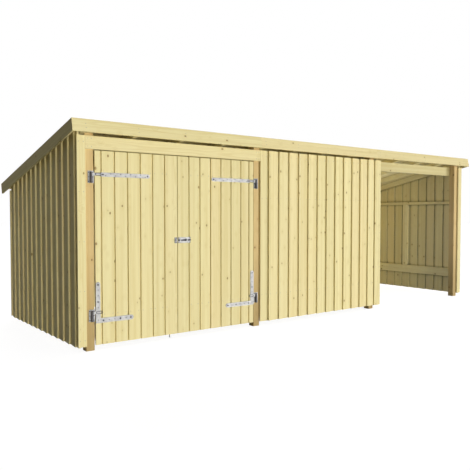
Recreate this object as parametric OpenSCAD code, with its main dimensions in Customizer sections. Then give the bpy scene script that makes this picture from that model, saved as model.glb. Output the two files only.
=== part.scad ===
// Garden shed of three bays with a mono-pitch roof, in millimetres.
// The left bay has a pair of ledged doors, the middle bay is boarded, and the right bay is open in front.
// +X runs along the front from left to right, +Y from front to back, +Z up.
// The origin is on the ground under the middle of the roof.

/* [Plan] */
// Distance between post centres along the front
bay = 2040; // [1900:10:2300]
// Depth over the posts, from front face to back face
depth = 2130; // [1800:10:2400]
// Side of the square posts
post = 85; // [75:1:100]
// Height of the lower edge of the front boards and doors above the ground
ground_gap = 50; // [40:1:90]
// Height of the lower edge of the side walls above the ground
side_gap = 40; // [25:1:90]

/* [Roof] */
// Height of the upper front edge of the front beam
eave = 2045; // [1950:5:2250]
// Pitch of the roof, which falls to the back
pitch = 12.2; // [8:0.1:14]
// Depth of the rafters
rafter_h = 77; // [60:1:95]
// Number of rafter spaces in each bay
rafter_spaces = 4; // [3:1:5]
// Thickness of the roof boards
deck_t = 18; // [15:1:25]
// Thickness of the roofing felt
felt_t = 3; // [2:0.5:5]
// Height of the front fascia and the barge boards
fascia_h = 124; // [110:1:145]
// Height of the eaves board at the back
eaves_h = 58; // [40:1:80]
// Thickness of the fascia, barge and eaves boards
fascia_t = 20; // [16:1:28]
// Height of the fascia's upper edge over the felt
fascia_lip = 6; // [3:1:15]
// Reach of the front fascia beyond the posts' front faces
front_overhang = 107; // [80:1:200]
// Reach of the roof beyond the posts' back faces
back_overhang = 127; // [100:1:250]
// Reach of the barge boards beyond the end cladding
side_overhang = 70; // [50:1:150]

/* [Frame] */
// Thickness of rails, rafters and beams
framing_t = 45; // [38:1:60]
// Height of the front beam at its front face
front_beam_h = 130; // [95:1:150]
// Height of the back beam at its front face
back_beam_h = 100; // [80:1:125]
// Height of the lower rails
low_rail_h = 130; // [95:1:145]
// Height of the lower rails' underside above the ground
low_rail_z = 300; // [200:5:400]
// Height of the upper rails
high_rail_h = 45; // [38:1:95]
// Drop from the back beam's underside to the upper rails' upper edge
rail_drop = 18; // [10:1:60]
// Width of the stud between the two rails of a side wall
stud_w = 95; // [60:1:120]
// Distance from the posts' front faces to the middle of that stud
stud_y = 982; // [700:1:1200]

/* [Cladding] */
// Thickness of the cladding boards, which are lapped over each other
board_t = 20; // [16:1:25]
// Distance from one cladding board's edge to the next
board_pitch = 160.5; // [120:0.5:180]
// Overlap of each board under the next
board_lap = 20; // [12:1:30]
// Width of the first board that shows on the left wall at the front, and on the others at the back
side_first_board = 62; // [40:1:110]
// Width of the first board that shows in the middle bay and on the back, at the left
front_first_board = 115; // [40:1:120]
// Thickness of the corner trims and the door header
trim_t = 20; // [16:1:25]
// Reach of the partition's trim beyond the partition cladding
middle_trim_lip = 18; // [0:1:30]
// Overlap of the partition's trim onto its post
middle_trim_lap = 18; // [5:1:30]

/* [Doors] */
// Height of the board over the doors
header_h = 125; // [95:1:145]
// Gap between the door header and the leaves
header_gap = 10; // [8:1:20]
// Shift of the meeting edge from the middle of the door bay, negative to the left
split_shift = -54; // [-100:1:100]
// Gap between the two leaves
split_gap = 6; // [6:1:12]
// Gap between a leaf and its post
door_gap = 10; // [8:1:20]
// Thickness of the door boards
leaf_t = 18; // [16:1:25]
// Distance that the leaves stand in front of the posts
leaf_proud = 8; // [7:0.5:9]
// Height of ledges and width of braces
ledge_h = 95; // [70:1:120]
// Thickness of ledges and braces
ledge_t = 28; // [20:1:34]
// Distance from the hinge edge to the ledges
ledge_hinge_inset = 30; // [20:1:60]
// Distance from the free edge to the ledges
ledge_free_inset = 110; // [105:1:160]

/* [Hinges] */
// Drop from the top of the leaves to the middle of the upper straps
upper_hinge_drop = 225; // [180:1:400]
// Height of the middle of the lower hinge eyes above the ground
lower_hinge_z = 363; // [340:1:500]
// Radius of the hinge pins
pin_r = 6; // [5:0.5:7]
// Radial clearance of the eyes on their pins
pin_clearance = 0.3; // [0.1:0.05:0.5]
// Outer radius of the eyes
eye_r = 10; // [9:0.5:10.5]
// Height of the eyes and of the upper straps
eye_h = 40; // [30:1:50]
// Distance of the pin axis in front of the posts
pin_proud = 16; // [15.5:0.5:17]
// Distance of the pin axis from the inner face of its post
pin_inset = 27.5; // [22:0.5:35]
// Thickness of the straps
strap_t = 5; // [4:0.5:6]
// Length of the upper straps from the pin axis
strap_length = 625; // [400:5:700]
// Height of the necks between the eyes and the straps
neck_h = 27; // [20:1:30]
// Length of the upper straps' necks from the pin axis
neck_length = 100; // [70:1:150]
// Width of the legs of the lower angle straps
leg_w = 46; // [30:1:50]
// Length of the legs of the lower angle straps
leg_length = 396; // [250:1:450]
// Distance from the underside of the lower eyes to the corner of the angle straps
corner_drop = 83; // [80:1:120]
// Width of the hinge plates
plate_w = 60; // [50:1:70]
// Thickness of the hinge plates
plate_t = 5; // [4:0.5:5]
// Height of the hinge plates above the eyes
plate_rise = 12; // [8:1:20]
// Height of the barrels under the eyes
barrel_h = 64; // [50:1:90]
// Radius of the barrels
barrel_r = 12; // [11.5:0.5:13]

/* [Bolts] */
// Height of the latch above the ground
latch_z = 1033; // [800:1:1200]
// Radius of the latch bolt
latch_r = 6; // [5:0.5:7]
// Travel of the latch bolt
latch_travel = 35; // [25:1:38]
// Distance of the drop bolt from the left leaf's free edge
drop_bolt_inset = 80; // [75:1:84]
// Radius of the drop bolt
drop_bolt_r = 7; // [6:0.5:8]
// Height of the drop bolt's tip above the ground
drop_bolt_tip = 12; // [8:1:25]
// Travel of the drop bolt
drop_bolt_travel = 60; // [40:1:80]

/* [Hidden] */
$fn = 48;

// Colours of the pressure-treated boards, the sawn posts, the felt and the zinc-plated fittings
board_colour = [0.90, 0.85, 0.63];
post_colour = [0.80, 0.66, 0.42];
felt_colour = [0.16, 0.16, 0.17];
zinc_colour = [0.74, 0.75, 0.79];

// Number of bays
bay_count = 3;
// Room left between pieces that meet without bearing on each other
fit_gap = 0.5;
// Room left between pieces that are nailed to each other
seat_gap = 0.3;
// Overrun of every cut beyond the face that it opens
overrun = 2;

// Front and back faces of the posts, with the roof centred over the origin
front_y = -(depth + back_overhang - front_overhang) / 2;
back_y = front_y + depth;
// Outer faces of the end posts
frame_x = (bay * bay_count + post) / 2;
// Depth of the lapped cladding, and its outer face at the ends
clad_t = 2 * board_t;
clad_x = frame_x + framing_t + clad_t;
// Rise of each board over the one below it, within their overlap
lap_rise = board_t * board_lap / (board_pitch + board_lap);
// Thickness of the rafters, which stand between the posts and the side cladding
rafter_t = framing_t - 2 * seat_gap;
// Outer face of the barge boards
roof_x = clad_x + side_overhang;

// Roof levels, measured square to the roof from the rafters' undersides
deck_w = rafter_h;
felt_w = deck_w + deck_t;
fascia_top_w = felt_w + felt_t + fascia_lip;
fascia_low_w = fascia_top_w - fascia_h;
// Roof ends, measured along the slope from the front face of the front beam
beam_y = front_y + post;
roof_front_u = (-front_overhang - post - fascia_low_w * sin(pitch)) / cos(pitch);
roof_back_u = (depth + back_overhang - post - fascia_top_w * sin(pitch)) / cos(pitch);
inner_front_u = roof_front_u + fascia_t + seat_gap;
inner_back_u = roof_back_u - fascia_t - seat_gap;

back_beam_y = back_y - post - framing_t;
// Upper edge of the front cladding, the trims and the header
front_top_z = eave;
header_z = front_top_z - header_h;
leaf_top_z = header_z - header_gap;
high_rail_z = under_rafters(back_beam_y) - back_beam_h - rail_drop - high_rail_h;

// Door bay, from the left front post to the post beside the doors
door_left_x = post_x(0) + post / 2;
door_right_x = post_x(1) - post / 2;
split_x = (post_x(0) + post_x(1)) / 2 + split_shift;
left_pin_x = door_left_x - pin_inset;
right_pin_x = door_right_x + pin_inset;
// Leaves in their own frames, with x from the pin axis to the free edge
hinge_edge_x = pin_inset + door_gap;
left_free_x = split_x - split_gap / 2 - left_pin_x;
right_free_x = right_pin_x - split_x - split_gap / 2;
// Faces of the leaves, as distances in front of the posts
leaf_face_y = front_y - leaf_proud;
leaf_back_y = leaf_face_y + leaf_t;
upper_hinge_z = leaf_top_z - upper_hinge_drop;

// Fittings of the two bolts: base plates, guide blocks and knobs
base_t = 3;
guide_wall = 5;
guide_l = 14;
bolt_clearance = 0.4;
bolt_lift = 2;
knob_r = 5;
knob_l = 18;
latch_plate_l = 152;
latch_plate_h = 60;
latch_edge_gap = 4;
latch_rod_l = 150;
latch_guide_reach = 10;
latch_guide_space = 86;
latch_knob_reach = 85;
keeper_l = 30;
drop_plate_w = 36;
drop_plate_z = 90;
drop_plate_h = 264;
drop_guide_reach = 10;
drop_rod_l = 388;
drop_knob_z = 180;
// Overlap that joins the parts of one fitting
weld = 1;
// Height of the pins above their eyes
pin_rise = 5;

// Centre of a front or back post, counted from the left
function post_x(index) = (index - bay_count / 2) * bay;
// Height of the rafters' undersides, and of the roof boards' underside
function under_rafters(y) = eave - (y - beam_y) * tan(pitch);
function under_deck(y) = under_rafters(y) + rafter_h / cos(pitch);
// Side of a post that its rafter stands against: outside at the left end, to the right elsewhere
function post_rafter_x(index) = post_x(index) + (index == 0 ? -1 : 1) * (post + framing_t) / 2;
// Rafters of a bay, without the one at its right post
function bay_rafters(index) = [
    for (i = [0 : rafter_spaces - 1])
        post_rafter_x(index) + (post_rafter_x(index + 1) - post_rafter_x(index)) * i / rafter_spaces
];

// Box between two corners
module box(low, high) {
    translate(low) cube(high - low);
}

// Outline of Y and Z points, extruded along X between two planes
module along_x(x0, x1) {
    translate([x0, 0, 0]) rotate([90, 0, 90]) linear_extrude(x1 - x0) children();
}

// Outline of X and Z points, extruded along Y between two planes
module along_y(y0, y1) {
    translate([0, y1, 0]) rotate([90, 0, 0]) linear_extrude(y1 - y0) children();
}

// Frame of the roof, with y down the slope and z square to it
module on_roof() {
    translate([0, beam_y, eave]) rotate([-pitch, 0, 0]) children();
}

// Post that stands on the ground and is cut off along the underside of the roof boards
module framed_post(index, y0) {
    y1 = y0 + post;
    color(post_colour) along_x(post_x(index) - post / 2, post_x(index) + post / 2)
        polygon([[y0, 0], [y1, 0], [y1, under_deck(y1) - fit_gap], [y0, under_deck(y0) - fit_gap]]);
}

// Beam that carries the rafters, planed to the roof's pitch on top
module sloped_beam(y0, height) {
    y1 = y0 + framing_t;
    low = under_rafters(y0) - height;
    color(board_colour) along_x(-frame_x - framing_t, frame_x + framing_t)
        polygon([[y0, low], [y1, low], [y1, under_rafters(y1)], [y0, under_rafters(y0)]]);
}

module front_beam() {
    sloped_beam(beam_y, front_beam_h);
}

module back_beam() {
    sloped_beam(back_beam_y, back_beam_h);
}

module rafters() {
    places = concat(bay_rafters(0), bay_rafters(1), bay_rafters(2), [post_rafter_x(3)]);
    color(board_colour) on_roof() for (x = places)
        box([x - rafter_t / 2, inner_front_u, 0], [x + rafter_t / 2, inner_back_u, deck_w]);
}

// Sheet or board between the two barge boards, from u0 to u1 down the slope
module roof_sheet(u0, u1, low, high) {
    x = roof_x - fascia_t - seat_gap;
    on_roof() box([-x, u0, low], [x, u1, high]);
}

module roof_deck() {
    color(board_colour) roof_sheet(inner_front_u, inner_back_u, deck_w, felt_w);
}

// Felt that runs over the eaves board, so that the roof drains to the back
module roof_felt() {
    color(felt_colour) roof_sheet(inner_front_u, roof_back_u, felt_w, felt_w + felt_t);
}

// Fascia board across the front of the roof, square to the slope
module front_fascia() {
    color(board_colour) on_roof()
        box([-roof_x, roof_front_u, fascia_low_w], [roof_x, roof_front_u + fascia_t, fascia_top_w]);
}

// Eaves board across the rafters' lower ends
module back_fascia() {
    high = felt_w - seat_gap;
    color(board_colour) roof_sheet(roof_back_u - fascia_t, roof_back_u, high - eaves_h, high);
}

// Barge board down one side of the roof
module barge_board(x) {
    color(board_colour) on_roof()
        box([x, inner_front_u, fascia_low_w], [x + fascia_t, roof_back_u, fascia_top_w]);
}

module left_barge_board() {
    barge_board(-roof_x);
}

module right_barge_board() {
    barge_board(roof_x - fascia_t);
}

// Plan of lapped boards, with x along the wall from the exposed edges and y outwards
function lapped_plan(run, first) =
    let (start = first - board_pitch, last = ceil((run - start) / board_pitch) - 1)
    concat(
        [for (i = [0 : last]) each [
            [start + i * board_pitch, clad_t],
            [start + (i + 1) * board_pitch, board_t + lap_rise]
        ]],
        [for (i = [last : -1 : 0]) each [
            [start + (i + 1) * board_pitch + board_lap, 0],
            [start + i * board_pitch + board_lap, board_t - lap_rise]
        ]]
    );

// Outline of a boarded side wall, up to the underside of the roof boards
module side_outline() {
    polygon([
        [front_y, side_gap], [back_y, side_gap],
        [back_y, under_deck(back_y) - fit_gap], [front_y, under_deck(front_y) - fit_gap]
    ]);
}

// Boards of a side wall, nailed to rails whose outer face is at x0, with their exposed edges to the front,
// or to the back where the wall is turned
module side_boards(x0, turned) {
    plan = [for (p = lapped_plan(depth, side_first_board)) [p[1], turned ? depth - p[0] : p[0]]];
    inner_x = x0 + seat_gap;
    color(board_colour) intersection() {
        translate([inner_x, front_y, 0]) linear_extrude(under_deck(front_y)) polygon(plan);
        along_x(inner_x, inner_x + clad_t) side_outline();
    }
}

module left_wall() {
    mirror([1, 0, 0]) side_boards(frame_x + framing_t, false);
}

// The same wall as at the left, turned half round
module right_wall() {
    side_boards(frame_x + framing_t, true);
}

// Partition to the open bay, notched where the two beams pass through it
module partition_wall() {
    x0 = post_x(2) + post / 2 + framing_t;
    color(board_colour) difference() {
        side_boards(x0, true);
        notch(x0, beam_y, front_beam_h);
        notch(x0, back_beam_y, back_beam_h);
    }
}

// Notch for a beam, open up to the roof boards so that the boards slip over it
module notch(x0, y0, height) {
    y1 = y0 + framing_t + fit_gap;
    low = under_rafters(y0) - height - fit_gap;
    box([x0 - overrun, y0 - fit_gap, low], [x0 + clad_t + overrun, y1, under_deck(y0) + overrun]);
}

// Boards from x0 to x1 on a face that looks along +y, with their exposed edges to the left
module face_boards(x0, x1, top) {
    run = x1 - x0;
    color(board_colour) translate([x0, seat_gap, ground_gap]) intersection() {
        linear_extrude(top - ground_gap) polygon(lapped_plan(run, front_first_board));
        cube([run, clad_t, top - ground_gap]);
    }
}

// Boards of the middle bay, from the door post over the next post to the partition's trim
module front_wall() {
    x0 = post_x(1) + post / 2;
    x1 = post_x(2) + post / 2 - middle_trim_lap - seat_gap;
    translate([0, front_y, 0]) mirror([0, 1, 0]) face_boards(x0, x1, front_top_z);
}

// Boards of the back, between the two back trims and below the rafters
module back_wall() {
    translate([0, back_y, 0]) face_boards(-frame_x, frame_x, under_rafters(back_y + clad_t) - fit_gap);
}

// Pair of rails, as a lower and an upper box on the same plan
module rail_pair(low, high) {
    color(board_colour) {
        box([low[0], low[1], low_rail_z], [high[0], high[1], low_rail_z + low_rail_h]);
        box([low[0], low[1], high_rail_z], [high[0], high[1], high_rail_z + high_rail_h]);
    }
}

// Rails of a side wall, on the outer faces of its posts, and the stud between them
module side_rails(x0) {
    rail_pair([x0, front_y], [x0 + framing_t, back_y]);
    stud_front = front_y + stud_y - stud_w / 2;
    stud_low = low_rail_z + low_rail_h + fit_gap;
    color(board_colour)
        box([x0, stud_front, stud_low], [x0 + framing_t, stud_front + stud_w, high_rail_z - fit_gap]);
}

module left_wall_rails() {
    side_rails(-frame_x - framing_t);
}

module partition_rails() {
    side_rails(post_x(2) + post / 2);
}

module right_wall_rails() {
    side_rails(frame_x);
}

// Rails of the middle bay, between its posts, with a top rail behind the upper ends of the boards
module front_wall_rails() {
    x0 = post_x(1) + post / 2;
    x1 = post_x(2) - post / 2;
    rail_pair([x0, front_y], [x1, front_y + framing_t]);
    color(board_colour) box([x0, front_y, front_top_z - header_h], [x1, front_y + framing_t, front_top_z]);
}

// Rails of the back, between its posts and flush with their back faces
module back_wall_rails() {
    for (index = [0 : 2]) {
        behind_partition = index == 2 ? framing_t + clad_t + fit_gap : 0;
        x0 = post_x(index) + post / 2 + behind_partition;
        rail_pair([x0, back_y - framing_t], [post_x(index + 1) - post / 2, back_y]);
    }
}

// Corner trim over the front or back edge of an end wall, from y0 towards +y
module corner_trim(y0, top) {
    color(board_colour) box([frame_x, y0, ground_gap], [clad_x, y0 + trim_t, top]);
}

module right_trim() {
    corner_trim(front_y - trim_t, front_top_z);
}

module left_trim() {
    mirror([1, 0, 0]) right_trim();
}

// Trim over the front edge of the partition, as thick as the cladding beside it
module middle_trim() {
    post_face = post_x(2) + post / 2;
    x0 = post_face - middle_trim_lap;
    x1 = post_face + framing_t + clad_t + middle_trim_lip;
    color(board_colour) box([x0, front_y - clad_t, ground_gap], [x1, front_y, front_top_z]);
}

// Corner trims of the back, below the rafters
module back_trims() {
    for (side = [0, 1])
        mirror([side, 0, 0]) corner_trim(back_y, under_rafters(back_y + trim_t) - fit_gap);
}

// Board over the doors, between the left trim and the middle bay
module door_header() {
    color(board_colour)
        box([-frame_x, front_y - trim_t, header_z], [post_x(1) + post / 2 - seat_gap, front_y, front_top_z]);
}

// Frames of the two leaves, with x from the pin axis to the free edge
module in_left_door() {
    translate([left_pin_x, 0, 0]) children();
}

module in_right_door() {
    translate([right_pin_x, 0, 0]) mirror([1, 0, 0]) children();
}

// Boards of a leaf
module leaf_boards(free_x) {
    color(board_colour) box([hinge_edge_x, leaf_face_y, ground_gap], [free_x, leaf_back_y, leaf_top_z]);
}

// Two ledges behind the hinges and a brace that rises from the hinge side
module leaf_ledges(free_x) {
    x0 = hinge_edge_x + ledge_hinge_inset;
    x1 = free_x - ledge_free_inset;
    y1 = leaf_back_y + ledge_t;
    low_z = lower_hinge_z - eye_h / 2 - corner_drop;
    high_z = upper_hinge_z - ledge_h / 2;
    brace_low = low_z + ledge_h + fit_gap;
    brace_high = high_z - fit_gap;
    color(board_colour) {
        for (z = [low_z, high_z]) box([x0, leaf_back_y, z], [x1, y1, z + ledge_h]);
        along_y(leaf_back_y, y1) polygon([
            [x0, brace_low], [x0 + ledge_h, brace_low], [x1, brace_high], [x1 - ledge_h, brace_high]
        ]);
    }
}

// Eye that turns on a hinge pin, with its neck and the flat outline of the strap
module eyed_strap(eye_z, neck_end) {
    y1 = leaf_face_y;
    neck_z = eye_z + (eye_h - neck_h) / 2;
    color(zinc_colour) difference() {
        union() {
            translate([0, front_y - pin_proud, eye_z]) cylinder(r = eye_r, h = eye_h);
            box([0, y1 - strap_t, neck_z], [neck_end, y1, neck_z + neck_h]);
            along_y(y1 - strap_t, y1) children();
        }
        translate([0, front_y - pin_proud, eye_z - overrun])
            cylinder(r = pin_r + pin_clearance, h = eye_h + 2 * overrun);
    }
}

// Upper strap, rounded at its free end
module upper_strap() {
    round_r = eye_h / 2;
    round_x = strap_length - round_r;
    eyed_strap(upper_hinge_z - round_r, neck_length) {
        translate([neck_length, upper_hinge_z - round_r]) square([round_x - neck_length, eye_h]);
        translate([round_x, upper_hinge_z]) circle(r = round_r);
    }
}

// Lower strap, an angle with one leg up the hinge edge and one along the bottom of the leaf
module angle_strap() {
    eye_z = lower_hinge_z - eye_h / 2;
    corner_z = eye_z - corner_drop;
    round_r = leg_w / 2;
    eyed_strap(eye_z, hinge_edge_x + leg_w / 2) {
        translate([hinge_edge_x, corner_z]) square([leg_w, leg_length - round_r]);
        translate([hinge_edge_x + round_r, corner_z + leg_length - round_r]) circle(r = round_r);
        translate([hinge_edge_x, corner_z]) square([leg_length - round_r, leg_w]);
        translate([hinge_edge_x + leg_length - round_r, corner_z + round_r]) circle(r = round_r);
    }
}

module leaf_straps() {
    upper_strap();
    angle_strap();
}

// Plate on the front of a post, with the barrel and pin that carry an eye
module hinge_plate(eye_z) {
    plate_z = eye_z - barrel_h;
    plate_top = eye_z + eye_h + plate_rise;
    color(zinc_colour) union() {
        box([-plate_w / 2, front_y - plate_t, plate_z], [plate_w / 2, front_y, plate_top]);
        translate([0, front_y - pin_proud, plate_z]) {
            cylinder(r = barrel_r, h = barrel_h - fit_gap);
            cylinder(r = pin_r, h = barrel_h + eye_h + pin_rise);
        }
    }
}

module hinge_plates() {
    hinge_plate(upper_hinge_z - eye_h / 2);
    hinge_plate(lower_hinge_z - eye_h / 2);
}

// Guide block of a bolt that runs along x, on a base at y = 0 with the block towards -y
module bolt_guide(radius) {
    reach = base_t + bolt_lift + 2 * radius + guide_wall;
    half = radius + guide_wall;
    difference() {
        box([0, -reach, -half], [guide_l, -base_t + weld, half]);
        translate([-overrun, -bolt_axis(radius), 0]) rotate([0, 90, 0])
            cylinder(r = radius + bolt_clearance, h = guide_l + 2 * overrun);
    }
}

// Distance of a bolt's axis from the face that its base lies on
function bolt_axis(radius) = base_t + bolt_lift + radius;

// Base plate of a bolt, on a face at y = 0
module bolt_base(x0, x1, height) {
    box([x0, -base_t, -height / 2], [x1, 0, height / 2]);
}

// Bolt along x with a knob that stands out towards -y
module bolt_rod(radius, x0, x1, knob_x) {
    translate([x0, -bolt_axis(radius), 0]) rotate([0, 90, 0]) cylinder(r = radius, h = x1 - x0);
    translate([knob_x, -bolt_axis(radius), 0]) rotate([90, 0, 0]) cylinder(r = knob_r, h = knob_l);
}

// Frame of the latch on the outer face of a leaf
module on_latch(free_x) {
    translate([free_x, leaf_face_y, latch_z]) children();
}

module latch_guides() {
    color(zinc_colour) in_right_door() on_latch(right_free_x) union() {
        bolt_base(-latch_edge_gap - latch_plate_l, -latch_edge_gap, latch_plate_h);
        for (reach = [latch_guide_reach, latch_guide_reach + latch_guide_space])
            translate([-reach - guide_l, 0, 0]) bolt_guide(latch_r);
    }
}

// Latch bolt, drawn back into the right leaf
module latch_bolt() {
    color(zinc_colour) in_right_door() on_latch(right_free_x)
        bolt_rod(latch_r, -overrun - latch_rod_l, -overrun, -latch_knob_reach);
}

// Keeper on the left leaf that the latch bolt slides into
module latch_keeper() {
    color(zinc_colour) in_left_door() on_latch(left_free_x) union() {
        bolt_base(-latch_edge_gap - keeper_l, -latch_edge_gap, latch_plate_h);
        translate([-latch_guide_reach - guide_l, 0, 0]) bolt_guide(latch_r);
    }
}

// Frame of the drop bolt on the inner face of the left leaf, with x up and the block towards the room
module on_drop_bolt() {
    translate([left_free_x - drop_bolt_inset, leaf_back_y, 0]) rotate([0, -90, 180]) children();
}

module drop_bolt_guides() {
    color(zinc_colour) in_left_door() on_drop_bolt() union() {
        bolt_base(drop_plate_z, drop_plate_z + drop_plate_h, drop_plate_w);
        for (z = [drop_plate_z + drop_guide_reach, drop_plate_z + drop_plate_h - drop_guide_reach - guide_l])
            translate([z, 0, 0]) bolt_guide(drop_bolt_r);
    }
}

module drop_bolt_rod() {
    color(zinc_colour) in_left_door() on_drop_bolt()
        bolt_rod(drop_bolt_r, drop_bolt_tip, drop_bolt_tip + drop_rod_l, drop_knob_z);
}

framed_post(0, front_y);  // front_post_left
framed_post(1, front_y);  // front_post_door
framed_post(2, front_y);  // front_post_middle
framed_post(3, front_y);  // front_post_right
framed_post(0, back_y - post);  // back_post_left
framed_post(1, back_y - post);  // back_post_door
framed_post(2, back_y - post);  // back_post_middle
framed_post(3, back_y - post);  // back_post_right
front_beam();
back_beam();
rafters();
roof_deck();
roof_felt();
front_fascia();
back_fascia();
left_barge_board();
right_barge_board();
left_wall();
partition_wall();
right_wall();
front_wall();
back_wall();
left_wall_rails();
partition_rails();
right_wall_rails();
front_wall_rails();
back_wall_rails();
left_trim();
middle_trim();
right_trim();
back_trims();
door_header();
in_left_door() hinge_plates();  // left_hinge_plates
in_right_door() hinge_plates();  // right_hinge_plates
in_left_door() leaf_boards(left_free_x);  // left_door_boards
in_left_door() leaf_ledges(left_free_x);  // left_door_ledges
in_left_door() leaf_straps();  // left_door_straps
latch_keeper();
drop_bolt_guides();
in_right_door() leaf_boards(right_free_x);  // right_door_boards
in_right_door() leaf_ledges(right_free_x);  // right_door_ledges
in_right_door() leaf_straps();  // right_door_straps
latch_guides();
drop_bolt_rod();
latch_bolt();
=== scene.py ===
import math
import random

import bpy
from mathutils import Matrix, Vector


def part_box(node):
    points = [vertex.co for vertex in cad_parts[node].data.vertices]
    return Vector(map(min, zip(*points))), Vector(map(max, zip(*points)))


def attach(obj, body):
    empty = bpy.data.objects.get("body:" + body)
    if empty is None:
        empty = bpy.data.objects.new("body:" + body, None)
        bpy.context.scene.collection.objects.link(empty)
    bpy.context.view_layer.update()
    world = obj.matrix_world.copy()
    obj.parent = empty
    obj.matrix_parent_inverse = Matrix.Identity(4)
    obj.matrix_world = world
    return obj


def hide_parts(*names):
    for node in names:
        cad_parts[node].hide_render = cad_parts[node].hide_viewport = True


# Looks of the open-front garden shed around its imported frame, in metres
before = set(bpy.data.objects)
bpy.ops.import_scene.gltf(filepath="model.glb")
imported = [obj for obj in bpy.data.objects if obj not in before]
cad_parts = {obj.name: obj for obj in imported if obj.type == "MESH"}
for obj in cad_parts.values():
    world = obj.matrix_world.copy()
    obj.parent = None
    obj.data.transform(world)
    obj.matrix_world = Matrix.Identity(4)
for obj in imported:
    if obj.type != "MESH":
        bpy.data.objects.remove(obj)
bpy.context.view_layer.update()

# Axes, and the roof's frame with y down the slope and z square to it
RIGHT = Vector((1, 0, 0))
BACK = Vector((0, 1, 0))
UP = Vector((0, 0, 1))
WORLD = Matrix.Identity(4)
PITCH = math.radians(12.2)
BEAM_LOW, BEAM_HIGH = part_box("front_beam")
ROOF = Matrix.Translation((0, BEAM_LOW.y, BEAM_HIGH.z)) @ Matrix.Rotation(-PITCH, 4, "X")

# Digits to which the points of a solid and the heights of rails are compared
POINT_DIGITS = 5
HEIGHT_DIGITS = 4

# Lapped cladding: thickness, spacing and lap of its boards, and the width of a wall's first board
BOARD_T = 0.020
BOARD_PITCH = 0.1605
BOARD_LAP = 0.020
CLADDING = (BOARD_T, BOARD_PITCH, BOARD_LAP)
SIDE_FIRST_BOARD = 0.062
FRONT_FIRST_BOARD = 0.115
RAIL_TALLEST = 0.2
FIT_GAP = 0.0005

# Door boards with a sunk tongue between them
DOOR_PITCH = 0.139
DOOR_FIRST_BOARD = {"left": 0.152, "right": 0.139}
DOOR_LAST_BOARD = {"left": 0.0635, "right": 0.0675}
DOOR_GROOVE = 0.014
TONGUE_T = 0.004
TONGUE_SET = 0.001
LEDGE_TALLEST = 0.5

# Roof boards and felt
DECK_PITCH = 0.112
FELT_T = 0.0015
FELT_PITCH = 0.80
FELT_LAP = 0.07

# Rounding of the edges of planed boards, tongues, posts, felt and steel
ARRIS = 0.0025
TONGUE_ARRIS = ARRIS / 5
POST_ARRIS = 0.003
FELT_ARRIS = FELT_T / 3
STEEL_BEVEL = 0.0008
BEVEL_STEPS = 2

# Wood in the frame of a board, with x along it, y across it and z through it: the log that the board is cut
# from, with its pith aside of the board and behind it, and the noise in it, in patches to a metre
LOG_LENGTH = 40
PITH_ASIDE = 0.05
PITH_BEHIND = (0.03, 0.09)
GROWTH_RING = 0.0055
RING_RANGE = (-0.4, 1.0)
RING_SHARE = 0.30
SWIRL_SCALE = (1.1, 6, 6)
SWIRL_REACH = 0.030
STREAK_SCALE = (0.5, 26, 26)
STREAK_RANGE = (0.25, 0.8)
STREAK_SHARE = 0.55
FIBRE_SCALE = (9, 420, 420)
FIBRE_RANGE = (0.3, 0.7)
FIBRE_SHARE = 0.08
END_SHARE = 0.45

# Tones of the boards: from which tone and how far a board turns warm, and the spread of lightness
WARM_FROM = 0.35
WARM_SHARE = 0.25
LIGHTNESS_TURNS = 7.0
LIGHTNESS = (0.99, 1.04)

# Knots: size of the cell that may hold one, radius (below zero where it is missing), and the halo round it
KNOT_STEP = 0.18
KNOT_LANE = 0.078
KNOT_DEPTH = 0.042
KNOT_SMALL = -0.010
KNOT_LARGE = 0.0135
KNOT_STRETCH = 0.7
KNOT_RIM = 0.006
KNOT_SHARE = 0.85
HALO_REACH = 0.030
HALO_FROM = 0.004
HALO_BEND = 0.010
HALO_SHARE = 0.25

# Gloss and relief of the wood
WOOD_ROUGHNESS = (0.58, 0.74)
WOOD_GLOSS = 0.25
RING_RELIEF = 0.6
WOOD_BUMP = (0.35, 0.0006)

# Painted shade in corners, from ambient occlusion: the openness at which it is full and gone, and its share;
# and the wood darker towards the ground
CORNER_SHADE_REACH = 0.05
CORNER_SHADE_OUTSIDE = (0.0, 0.5, 0.45)
CORNER_SHADE_IN_BAY = (0.25, 0.95, 0.75)
CORNER_SHADE_RAYS = 8
DARKENING_HEIGHT = 1.1
DARKENING_SHARE = 0.5

# Felt: grains, patches, and the bead of bitumen along each lap, as a share of a strip
FELT_GRAIN_SCALE = (650, 650, 650)
FELT_PATCH_SCALE = (1.5, 3, 3)
FELT_PATCH_SHARE = 0.35
FELT_TONE_SHARE = 0.35
FELT_BEAD = 0.016
BEAD_WANDER_SCALE = (9, 9, 9)
FELT_ROUGHNESS = (0.92, 0.45)
FELT_GLOSS = 0.2
FELT_BUMP = (0.6, 0.0012)

# Zinc: crystals and clouds, and the edge between the zinc of a flat plate and the painted shade on the steel
# in front of it
CRYSTAL_SCALE = 140.0
CLOUD_SCALE = (30, 30, 30)
CLOUD_SHARE = 0.5
CLOUD_ROUGHNESS = (-0.08, 0.10)
CRYSTAL_SHARE = 0.5
ZINC_METAL = 0.6
ZINC_BUMP = (0.15, 0.0006)
SHADE_EDGE = (0.0015, 0.0005)

# Fasteners: radius and height of their heads, and the shares of these at the rim and the crown
BOLT = (0.0085, 0.0045)
SCREW = (0.0050, 0.0022)
NAIL = (0.0032, 0.0008)
HEAD_SIDES = 12
HEAD_RIM = 0.45
HEAD_CROWN = 0.6

# Nails: distance from the edges of boards, and places in the trims, barge boards, fascias and ledges
NAIL_EDGE = 0.025
TRIM_NAIL_EDGE = 0.020
TRIM_NAIL_STEP = 0.47
TRIM_NAIL_MARGIN = 0.06
BARGE_NAIL_EDGE = 0.020
BARGE_NAIL_MARGIN = 0.08
FASCIA_NAIL_RISES = (0.25, 0.75)
LEDGE_NAIL_RISE = 0.85
LEDGE_NAIL_MARGIN = 0.01
NAILED_LEAST_W = 3 * NAIL_EDGE

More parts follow.
